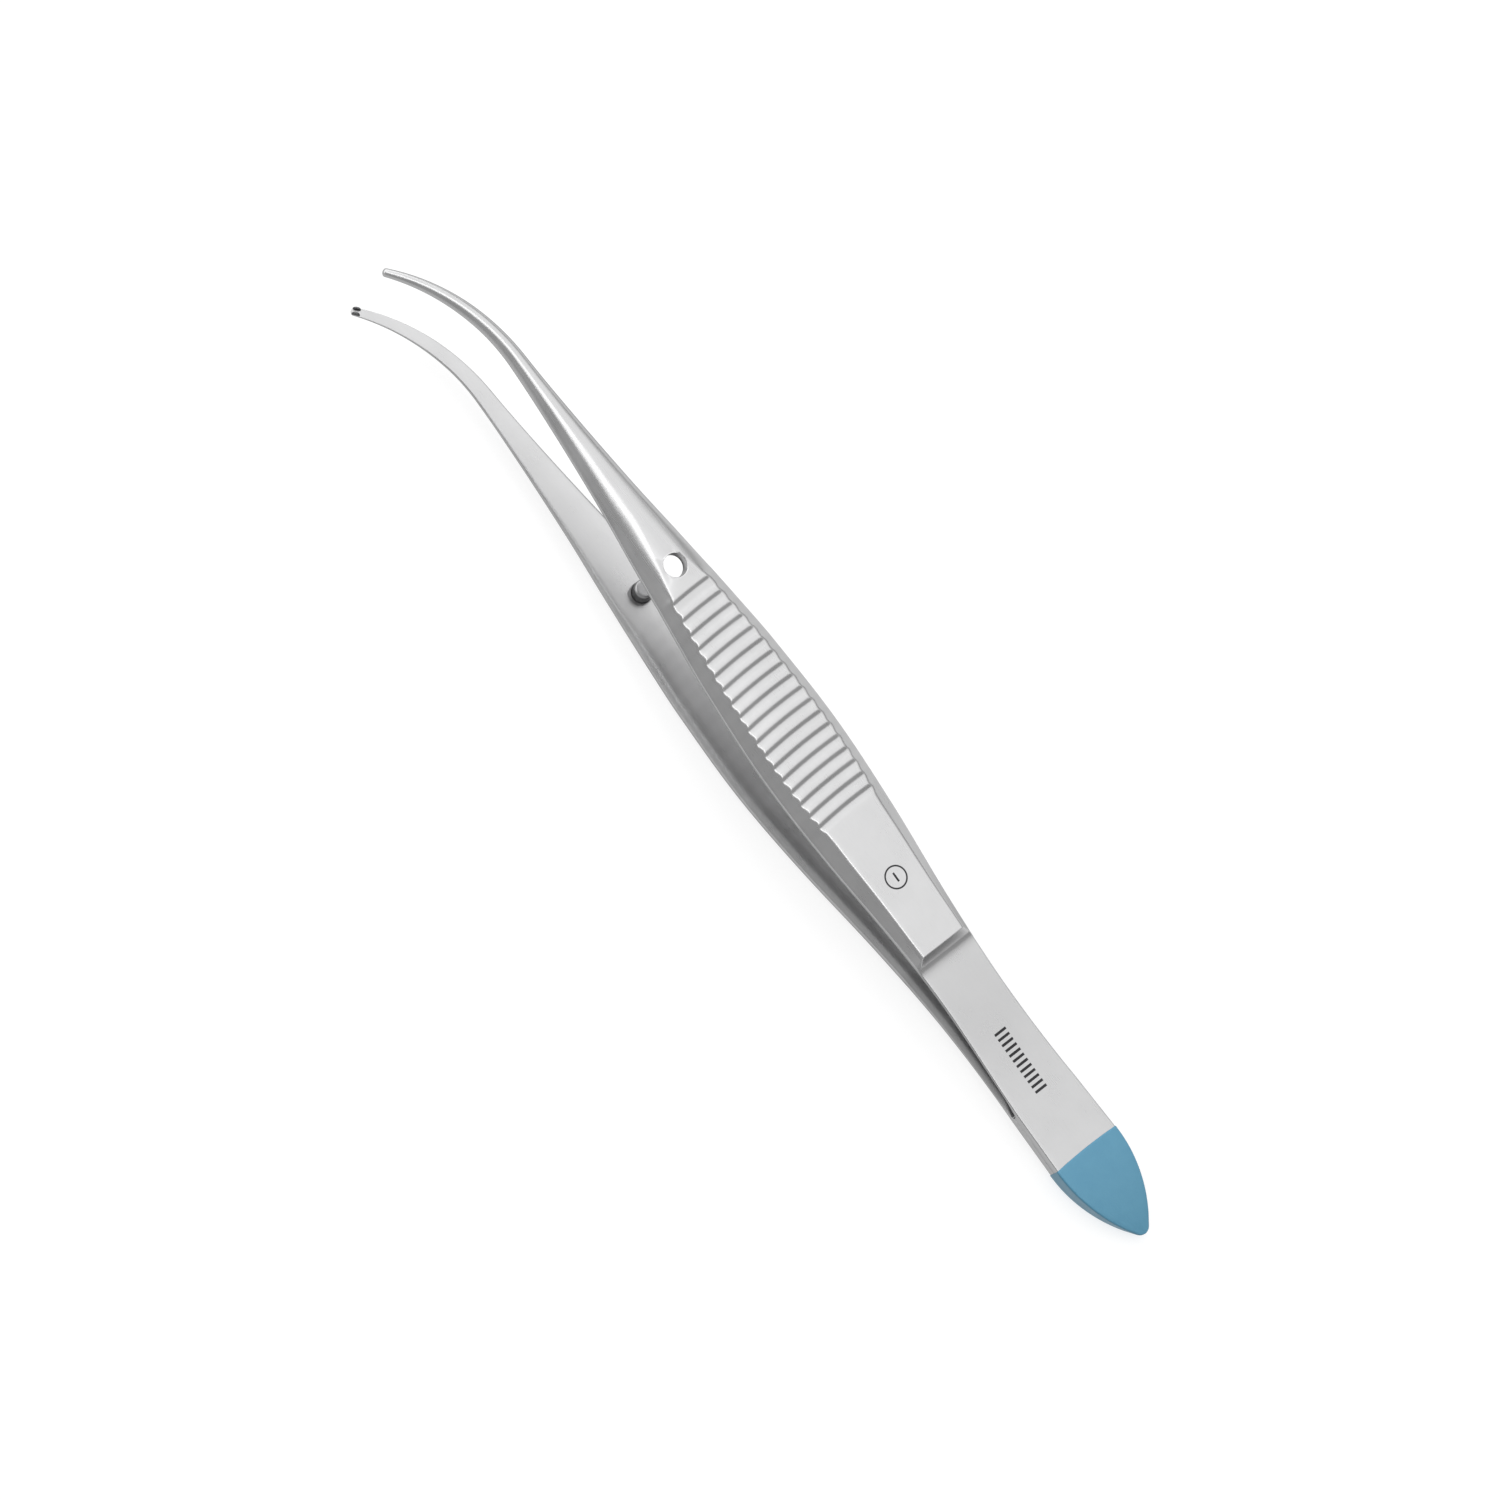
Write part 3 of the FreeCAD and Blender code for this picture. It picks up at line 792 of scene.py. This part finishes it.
def tooth_mesh(name, side, across_offset):
    """One tooth: a small pyramid with a blunt top and rounded edges, sunk into the tip."""
    base, across, outward = blade_base(TOOTH_POSITION)
    along = across.cross(outward)
    points, edges = [], []
    for height, length_share, width_share in TOOTH_PROFILE:
        half_length = TOOTH_ROOT / 2 * length_share
        half_width = TOOTH_WIDTH / 2 * width_share
        for i in range(TOOTH_SPANS):
            angle = 2 * math.pi * i / TOOTH_SPANS
            c, s = math.cos(angle), math.sin(angle)
            l = half_length * math.copysign(abs(c) ** TOOTH_SQUARENESS, c)
            a = half_width * math.copysign(abs(s) ** TOOTH_SQUARENESS, s)
            points.append(base + along * l + across * (a + across_offset) - outward * height)
            edges.append(1.0 if height > WORN_TOP else 0.2)
    if side < 0:
        points = mirrored(points)
    faces = tube_faces(len(TOOTH_PROFILE), TOOTH_SPANS)
    # The teeth's groove value darkens them a little in the material, as painted shade
    return new_mesh(name, points, faces, {"edge": edges, "groove": [0.6] * len(points)})


def lathe(name, profile, spans, marks):
    """Closed turned shape about the guide bore's axis on the lower arm, from (radius, height) points."""
    centre, across, outward = blade_base(HOLE_X)
    along = across.cross(outward)
    centre = centre + across * GUIDE_Y
    points, edges = [], []
    for (radius, height), mark in zip(profile, marks):
        for i in range(spans):
            angle = 2 * math.pi * i / spans
            points.append(centre + across * (radius * math.cos(angle)) + along * (radius * math.sin(angle))
                          + outward * height)
            edges.append(mark)
    faces = tube_faces(len(profile), spans)
    return new_mesh(name, mirrored(points), faces, {"edge": edges, "groove": [0.0] * len(points)})


def pin_profile():
    """Outline of the guide pin, from its flush foot to its domed end, with how worn each ring of it is."""
    thickness = blade_sizes(HOLE_X)[0]
    foot = thickness - PIN_FOOT_INSET
    profile = [(0.05, foot), (PIN_RADIUS * 0.6, foot), (PIN_RADIUS - 0.04, foot),
               (PIN_RADIUS - 0.01, foot - 0.02), (PIN_RADIUS, foot - 0.06)]
    profile += [(PIN_RADIUS, height) for height in (0.3, -0.4, -0.9)]
    marks = [0, 0, 0.5, 1, 0.5, 0, 0, 0]
    for angle in range(0, 91, 10):
        turn = math.radians(angle)
        profile.append((PIN_RADIUS - PIN_DOME + PIN_DOME * math.cos(turn),
                        -(PIN_HEIGHT - PIN_DOME) - PIN_DOME * math.sin(turn)))
        marks.append(0.6)
    for radius in (0.55, 0.37, 0.2, 0.03):
        profile.append((radius, -PIN_HEIGHT))
        marks.append(0.1)
    return profile, marks


def coat_mesh():
    """Thick colour coat: a closed shell round both tabs, with a rolled, slightly bowed front lip."""

    def loop_points(x, grow, corner):
        """Section round both tabs at x, with rounded corners."""
        w = max(rear_half_width(x, grow), 0.02)
        height = rear_half_height(x, grow)
        r = min(corner, 0.8 * w, 0.8 * height)
        found = []
        for cx, cz, start in ((1, 1, 0), (-1, 1, 90), (-1, -1, 180), (1, -1, 270)):
            for i in range(7):
                angle = math.radians(start + 15 * i)
                found.append((cx * (w - r) + r * math.cos(angle), cz * (height - r) + r * math.sin(angle)))
        rows = []
        for i, (y, z) in enumerate(found):
            y2, z2 = found[(i + 1) % len(found)]
            spans = 8 if i % 7 == 6 and (i // 7) % 2 == 0 else 5 if i % 7 == 6 else 1
            rows += [(mix(y, y2, s / spans), mix(z, z2, s / spans)) for s in range(spans)]
        return rows

    def place(x, y):
        """Slide the front of the coat so that its lip bows forward in the middle."""
        share = ease((x - COAT_BOW_START) / (COAT_END - COAT_BOW_START))
        return x + share * (COAT_LIP_LEAD - COAT_LIP_BOW * y * y)

    outer_apex, inner_apex = rear_apex(COAT_THICKNESS), rear_apex()
    lip_start = COAT_END - COAT_LIP
    rings = []
    for angle in COAT_APEX_ANGLES:
        x = outer_apex + (APEX_RADIUS + COAT_THICKNESS) * (1 - math.cos(math.radians(angle)))
        rings.append((x, COAT_THICKNESS, COAT_CORNER))
    rings += [(x, COAT_THICKNESS, COAT_CORNER) for x in steps(COAT_EVEN_FROM, lip_start, 28)]
    for turn in (math.radians(a) for a in (0, 20, 40, 60, 80)):
        grow = COAT_THICKNESS * math.cos(turn)
        rings.append((lip_start + COAT_LIP * math.sin(turn), grow, COAT_LIP_CORNER))
    inside = steps(COAT_EVEN_FROM, COAT_END - COAT_INNER_CORNER, 12)
    rings += [(x, -COAT_SINK, COAT_INNER_CORNER) for x in reversed(inside)]
    for angle in reversed(COAT_APEX_ANGLES):
        x = inner_apex + 2 * COAT_SINK + APEX_RADIUS * (1 - math.cos(math.radians(angle)))
        rings.append((x, -COAT_SINK, COAT_INNER_CORNER))

    points = []
    for x, grow, corner in rings:
        for y, z in loop_points(x, grow, corner):
            points.append(Vector((place(x, y), y, z)))
    return new_mesh("blue_rear_coat", points, tube_faces(len(rings), len(points) // len(rings)))


def weld_mesh():
    """Fused seam between the tabs: a thin plate with an uneven bead along its sides and front."""
    random.seed(7)
    stations = steps(SEAM_START, WELD_FRONT, 110) + [WELD_FRONT + SEAM_INSET]
    loop = [(a, -1) for a in SEAM_CROSSING] + [(1, 0)]
    loop += [(a, 1) for a in reversed(SEAM_CROSSING)] + [(-1, 0)]
    half_height = HALF_WELD + INSET
    points = []
    wobble = 0.0
    for x in stations:
        wobble = mix(wobble, random.uniform(-1, 1), 0.5)
        widest = min(rear_half_width(min(x, WELD_FRONT)) - SEAM_INSET, SEAM_HALF_WIDTH)
        half_width = widest + SEAM_WOBBLE * wobble
        for a, h in loop:
            bulge = SEAM_BULGE if h == 0 else 0.0
            points.append(Vector((x, a * (half_width + bulge), h * half_height)))
    return new_mesh("rear_weld_seam", points, tube_faces(len(stations), len(loop)))


# ---------------------------------------------------------------- materials

class Nodes:
    """Short hand for building a material's node tree."""

    def __init__(self, name):
        self.material = bpy.data.materials.new(name)
        self.material.use_nodes = True
        self.tree = self.material.node_tree
        self.shader = self.tree.nodes["Principled BSDF"]

    def add(self, kind, **settings):
        node = self.tree.nodes.new(kind)
        for key, value in settings.items():
            setattr(node, key, value)
        return node

    def link(self, source, target):
        self.tree.links.new(source, target)

    def feed(self, socket, value):
        if isinstance(value, bpy.types.NodeSocket):
            self.link(value, socket)
        else:
            socket.default_value = value

    def math(self, operation, *values):
        node = self.add("ShaderNodeMath", operation=operation)
        for socket, value in zip(node.inputs, values):
            self.feed(socket, value)
        return node.outputs[0]

    def attribute(self, name, output):
        return self.add("ShaderNodeAttribute", attribute_name=name).outputs[output]

    def scaled(self, vector, scale):
        node = self.add("ShaderNodeVectorMath", operation="MULTIPLY")
        self.link(vector, node.inputs[0])
        node.inputs[1].default_value = scale
        return node.outputs[0]

    def noise(self, vector, scale, detail=4.0, roughness=0.55):
        node = self.add("ShaderNodeTexNoise")
        self.link(vector, node.inputs["Vector"])
        node.inputs["Scale"].default_value = scale
        node.inputs["Detail"].default_value = detail
        node.inputs["Roughness"].default_value = roughness
        return node.outputs["Fac"]

    def range(self, value, from_low, from_high, to_low, to_high):
        node = self.add("ShaderNodeMapRange")
        self.feed(node.inputs["Value"], value)
        node.inputs["From Min"].default_value = from_low
        node.inputs["From Max"].default_value = from_high
        node.inputs["To Min"].default_value = to_low
        node.inputs["To Max"].default_value = to_high
        return node.outputs["Result"]

    def blend_colour(self, amount, one, two):
        node = self.add("ShaderNodeMix", data_type="RGBA")
        self.feed(node.inputs["Factor"], amount)
        self.feed(node.inputs[6], one)
        self.feed(node.inputs[7], two)
        return node.outputs[2]

    def bump(self, height, strength, distance, under=None):
        node = self.add("ShaderNodeBump")
        node.inputs["Strength"].default_value = strength
        node.inputs["Distance"].default_value = distance
        self.link(height, node.inputs["Height"])
        if under is not None:
            self.link(under, node.inputs["Normal"])
        return node.outputs["Normal"]


def etched_mark(nodes, place):
    """Mask of the generic laser marks on the upper outer face: a fine ring, and a row of short bars."""
    split = nodes.add("ShaderNodeSeparateXYZ")
    nodes.link(place, split.inputs[0])
    x, y, z = split.outputs
    outside = nodes.math("GREATER_THAN", z, MARKED_ABOVE)

    def band(value, low, high):
        return nodes.math("MULTIPLY", nodes.math("GREATER_THAN", value, low),
                          nodes.math("LESS_THAN", value, high))

    dx = nodes.math("SUBTRACT", x, RING_X)
    squares = nodes.math("ADD", nodes.math("MULTIPLY", dx, dx), nodes.math("MULTIPLY", y, y))
    gap = nodes.math("ABSOLUTE", nodes.math("SUBTRACT", nodes.math("SQRT", squares), RING_RADIUS))
    ring = nodes.range(gap, RING_WIDTH / 2, RING_WIDTH / 2 + RING_BLUR, 1.0, 0.0)
    dash = nodes.math("MULTIPLY", band(y, -DASH_HALF_WIDTH, DASH_HALF_WIDTH),
                      band(x, RING_X - DASH_HALF_LENGTH, RING_X + DASH_HALF_LENGTH))
    wave = nodes.math("PINGPONG", nodes.math("SUBTRACT", x, BARS_START), BARS_PITCH / 2)
    row = nodes.math("MULTIPLY", band(x, BARS_START, BARS_START + BARS_PITCH * BARS_COUNT),
                     band(y, -BARS_HALF_LENGTH, BARS_HALF_LENGTH))
    bars = nodes.math("MULTIPLY", nodes.math("GREATER_THAN", wave, BARS_PITCH * BARS_GAP), row)
    mask = nodes.math("MAXIMUM", ring, nodes.math("MAXIMUM", dash, bars))
    return nodes.math("MULTIPLY", mask, outside)


def steel_material(name, colour, roughness, marks=False):
    """Satin steel: blasted grain, faint lengthwise polishing, cloudy roughness, brighter worn edges.

    Its steep sides are painted darker as painted shade, and the leaf a little darker than the grip, as
    painted shade and sheen.
    """
    nodes = Nodes(name)
    place = nodes.attribute("rest_mm", "Vector")
    grain = nodes.noise(place, 12.0, 3.0, 0.6)
    cloud = nodes.noise(place, 0.35, 3.0, 0.5)
    brushed = nodes.noise(nodes.scaled(place, (0.5, 14.0, 14.0)), 1.0, 4.0, 0.6)
    edge = nodes.attribute("edge", "Fac")
    groove = nodes.attribute("groove", "Fac")
    side = nodes.attribute("side", "Fac")
    tone = nodes.range(cloud, 0.3, 0.7, 0.97, 1.03)
    tone = nodes.math("MULTIPLY", tone, nodes.range(brushed, 0.3, 0.7, 0.985, 1.015))
    # Painted shade: groove floors a little darker, and the teeth too
    tone = nodes.math("MULTIPLY", tone, nodes.range(groove, 0.0, 1.0, 1.0, 0.97))
    tone = nodes.math("ADD", tone, nodes.math("MULTIPLY", edge, 0.03))
    split = nodes.add("ShaderNodeSeparateXYZ")
    nodes.link(place, split.inputs[0])
    length = split.outputs[0]
    # Painted shade: steep sides darker, only slightly on the tab
    side_painted_shade = nodes.range(length, WELD_FRONT, WELD_FRONT + 3.0, 1 - TAB_SIDE_PAINTED_SHADE_TONE, 1 - SIDE_PAINTED_SHADE_TONE)
    tone = nodes.math("MULTIPLY", tone, nodes.math("SUBTRACT", 1.0, nodes.math("MULTIPLY", side, side_painted_shade)))
    # Painted shade on the leaf and painted sheen on the grip, changing over the step
    step_painted_shade_and_sheen = nodes.range(length, STEP_X - 0.4, STEP_X + 0.6, LEAF_PAINTED_SHADE_TONE, GRIP_PAINTED_SHEEN_TONE)
    tone = nodes.math("MULTIPLY", tone, step_painted_shade_and_sheen)
    tint = nodes.add("ShaderNodeVectorMath", operation="SCALE")
    tint.inputs[0].default_value = colour
    nodes.link(tone, tint.inputs["Scale"])
    rough = nodes.range(cloud, 0.25, 0.75, roughness - 0.03, roughness + 0.03)
    rough = nodes.math("ADD", rough, nodes.range(brushed, 0.3, 0.7, -0.02, 0.02))
    rough = nodes.math("SUBTRACT", rough, nodes.math("MULTIPLY", edge, 0.05))
    normal = nodes.bump(grain, 0.05, 0.00002)
    normal = nodes.bump(brushed, 0.05, 0.00002, normal)
    out_colour = tint.outputs[0]
    if marks:
        mask = etched_mark(nodes, place)
        inked = nodes.math("MULTIPLY", mask, MARK_STRENGTH)
        out_colour = nodes.blend_colour(inked, out_colour, MARK_COLOUR)
        rough = nodes.math("ADD", rough, nodes.math("MULTIPLY", mask, 0.2))
    nodes.link(out_colour, nodes.shader.inputs["Base Color"])
    nodes.link(rough, nodes.shader.inputs["Roughness"])
    nodes.link(normal, nodes.shader.inputs["Normal"])
    nodes.shader.inputs["Metallic"].default_value = 1.0
    nodes.shader.inputs["Specular Tint"].default_value = STEEL_REFLECTED
    return nodes.material


def blue_material():
    """Satin blue coat: slight orange peel, cloudy colour and a soft clear gloss."""
    nodes = Nodes("blue_coat")
    place = nodes.attribute("rest_mm", "Vector")
    peel = nodes.noise(place, 5.0, 3.0, 0.5)
    cloud = nodes.noise(place, 0.7, 3.0, 0.55)
    speck = nodes.noise(place, 40.0, 2.0, 0.6)
    amount = nodes.math("ADD", nodes.range(cloud, 0.3, 0.7, 0.0, 0.7),
                        nodes.range(speck, 0.3, 0.7, 0.0, 0.3))
    colour = nodes.blend_colour(amount, BLUE_DEEP, BLUE_PALE)
    # Painted shade: the coat turns darker blue on its steep sides
    colour = nodes.blend_colour(nodes.attribute("side", "Fac"), colour, BLUE_SIDE_PAINTED_SHADE)
    nodes.link(colour, nodes.shader.inputs["Base Color"])
    nodes.link(nodes.range(cloud, 0.3, 0.7, 0.36, 0.46), nodes.shader.inputs["Roughness"])
    normal = nodes.bump(peel, 0.12, 0.00006)
    nodes.link(nodes.bump(speck, 0.08, 0.00002, normal), nodes.shader.inputs["Normal"])
    nodes.shader.inputs["Metallic"].default_value = 0.25
    nodes.shader.inputs["Coat Weight"].default_value = 0.25
    nodes.shader.inputs["Coat Roughness"].default_value = 0.3
    return nodes.material


def floor_material():
    """Pale matt floor with a faint mottle, lit from below like a light table so that shadows stay weak."""
    nodes = Nodes("pale_floor")
    place = nodes.add("ShaderNodeTexCoord").outputs["Object"]
    cloud = nodes.noise(place, 6.0, 2.0, 0.5)
    colour = nodes.blend_colour(cloud, (0.3, 0.3, 0.302, 1), (0.32, 0.32, 0.32, 1))
    nodes.link(colour, nodes.shader.inputs["Base Color"])
    nodes.shader.inputs["Roughness"].default_value = 0.9
    nodes.shader.inputs["Specular IOR Level"].default_value = 0.1
    nodes.shader.inputs["Emission Color"].default_value = (1.0, 1.0, 1.0, 1)
    nodes.shader.inputs["Emission Strength"].default_value = FLOOR_GLOW
    return nodes.material


def paint(obj, material):
    obj.data.materials.clear()
    obj.data.materials.append(material)


# ---------------------------------------------------------------- the object

def make_arms():
    for prefix, side, radius, marks in (("upper", 1, HOLE_RADIUS, True), ("lower", -1, PIN_RADIUS, False)):
        arm = arm_mesh(f"{prefix}_arm_forging", side, radius)
        paint(arm, steel_material(f"satin_steel_{prefix}", STEEL, STEEL_ROUGHNESS, marks))
        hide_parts(f"{prefix}_rear_tab", f"{prefix}_spring_leaf", f"{prefix}_grip", f"{prefix}_blade")
        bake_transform(arm)


def make_teeth():
    # Dark steel on the teeth: painted shade of the toothed tips
    steel = steel_material("tooth_painted_shade_steel", TOOTH_PAINTED_SHADE_STEEL, 0.35)
    offset = TOOTH_WIDTH + TOOTH_CLEARANCE
    for name, side, across, body in (("upper_tooth", 1, 0.0, "upper_arm"),
                                     ("lower_tooth_left", -1, offset, "lower_arm"),
                                     ("lower_tooth_right", -1, -offset, "lower_arm")):
        tooth = tooth_mesh(name, side, across)
        paint(tooth, steel)
        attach(tooth, body)


def make_pin():
    profile, marks = pin_profile()
    pin = lathe("turned_guide_pin", profile, 64, marks)
    paint(pin, steel_material("pin_steel", PIN_STEEL, 0.38))
    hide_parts("guide_pin")
    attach(pin, "lower_arm")


def make_rear_end():
    coat = coat_mesh()
    paint(coat, blue_material())
    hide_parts("blue_end_coat")
    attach(coat, "rear_end")
    seam = weld_mesh()
    paint(seam, steel_material("weld_metal", WELD_METAL, 0.42))
    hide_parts("rear_weld")
    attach(seam, "rear_end")


# ---------------------------------------------------------------- studio

CAMERA_DISTANCE = 550.0
CAMERA_TILT = 20.0
PIXELS_PER_MM = 12.24
IMAGE_SIZE = 1500
SENSOR = 36.0
TARGET = (50.8, 1.88, -0.67)
X_IN_IMAGE = (-0.6023, 0.7983)
FLOOR_SIZE = 6
FLOOR_GAP = 0.00002
FLOOR_GLOW = 0.75
WORLD_RADIANCE = 0.45
SOFTBOX_DISTANCE = 1.0

# Lights, as (name, lean, lean span, forward, forward span, radiance)
SOFTBOXES = [("overhead_strip", -2.0, 12.0, 0.0, 60.0, 1.3), ("main_softbox", -23.0, 54.0, 0.0, 60.0, 0.85),
             ("left_fill", -60.0, 20.0, 0.0, 60.0, 0.3), ("front_softbox", 0.0, 120.0, 60.0, 60.0, 1.3)]


def make_camera():
    """Camera above the tool, leaning to the side the tips curve to, the tool lying diagonally in view."""
    tilt = math.radians(CAMERA_TILT)
    turn = PLACE.to_3x3().normalized()
    backward = turn @ Vector((0, math.sin(tilt), math.cos(tilt)))
    x_axis = turn @ Vector((1, 0, 0))
    y_axis = backward.cross(x_axis)
    right = x_axis * X_IN_IMAGE[0] - y_axis * X_IN_IMAGE[1]
    up = x_axis * X_IN_IMAGE[1] + y_axis * X_IN_IMAGE[0]
    camera = bpy.data.objects.new("camera", bpy.data.cameras.new("camera"))
    bpy.context.scene.collection.objects.link(camera)
    position = PLACE @ Vector(TARGET) + backward * CAMERA_DISTANCE * MM
    facing = Matrix((right, up, backward)).transposed().to_4x4()
    camera.matrix_world = Matrix.Translation(position) @ facing
    camera.data.sensor_width = SENSOR
    camera.data.lens = PIXELS_PER_MM * CAMERA_DISTANCE / IMAGE_SIZE * SENSOR
    camera.data.clip_start = 0.01
    camera.data.clip_end = 20
    bpy.context.scene.camera = camera


def make_floor():
    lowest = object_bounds()[0].z
    bpy.ops.mesh.primitive_plane_add(size=FLOOR_SIZE, location=(0, 0, lowest - FLOOR_GAP))
    floor = bpy.context.object
    floor.name = "floor"
    paint(floor, floor_material())


def make_softbox(name, lean, lean_span, forward, forward_span, radiance):
    """Rectangular soft light facing the tool from SOFTBOX_DISTANCE away, its place and size as angles.

    lean is measured from straight up towards +Y, and forward from there towards +X, in degrees.
    """
    lean, forward = math.radians(lean), math.radians(forward)
    upright = Vector((0, math.sin(lean), math.cos(lean)))
    along = Vector((1, 0, 0))
    backward = along * math.sin(forward) + upright * math.cos(forward)
    x_axis = along * math.cos(forward) - upright * math.sin(forward)
    y_axis = backward.cross(x_axis)
    light = bpy.data.lights.new(name, "AREA")
    light.shape = "RECTANGLE"
    light.size = 2 * SOFTBOX_DISTANCE * math.tan(math.radians(forward_span / 2))
    light.size_y = 2 * SOFTBOX_DISTANCE * math.tan(math.radians(lean_span / 2))
    light.energy = radiance * math.pi * light.size * light.size_y
    obj = bpy.data.objects.new(name, light)
    bpy.context.scene.collection.objects.link(obj)
    turn = Matrix((x_axis, y_axis, backward)).transposed().to_4x4()
    obj.matrix_world = Matrix.Translation(backward * SOFTBOX_DISTANCE) @ turn


def make_lights():
    """A bright strip overhead beside a wide soft light, a weak fill, and a bright light past the tips."""
    world = bpy.data.worlds.new("studio")
    bpy.context.scene.world = world
    world.use_nodes = True
    background = world.node_tree.nodes["Background"]
    background.inputs["Color"].default_value = (1.0, 1.0, 1.0, 1)
    background.inputs["Strength"].default_value = WORLD_RADIANCE
    for softbox in SOFTBOXES:
        make_softbox(*softbox)
    bpy.context.scene.view_settings.view_transform = "Standard"


make_arms()
make_teeth()
make_pin()
make_rear_end()
make_floor()
make_camera()
make_lights()
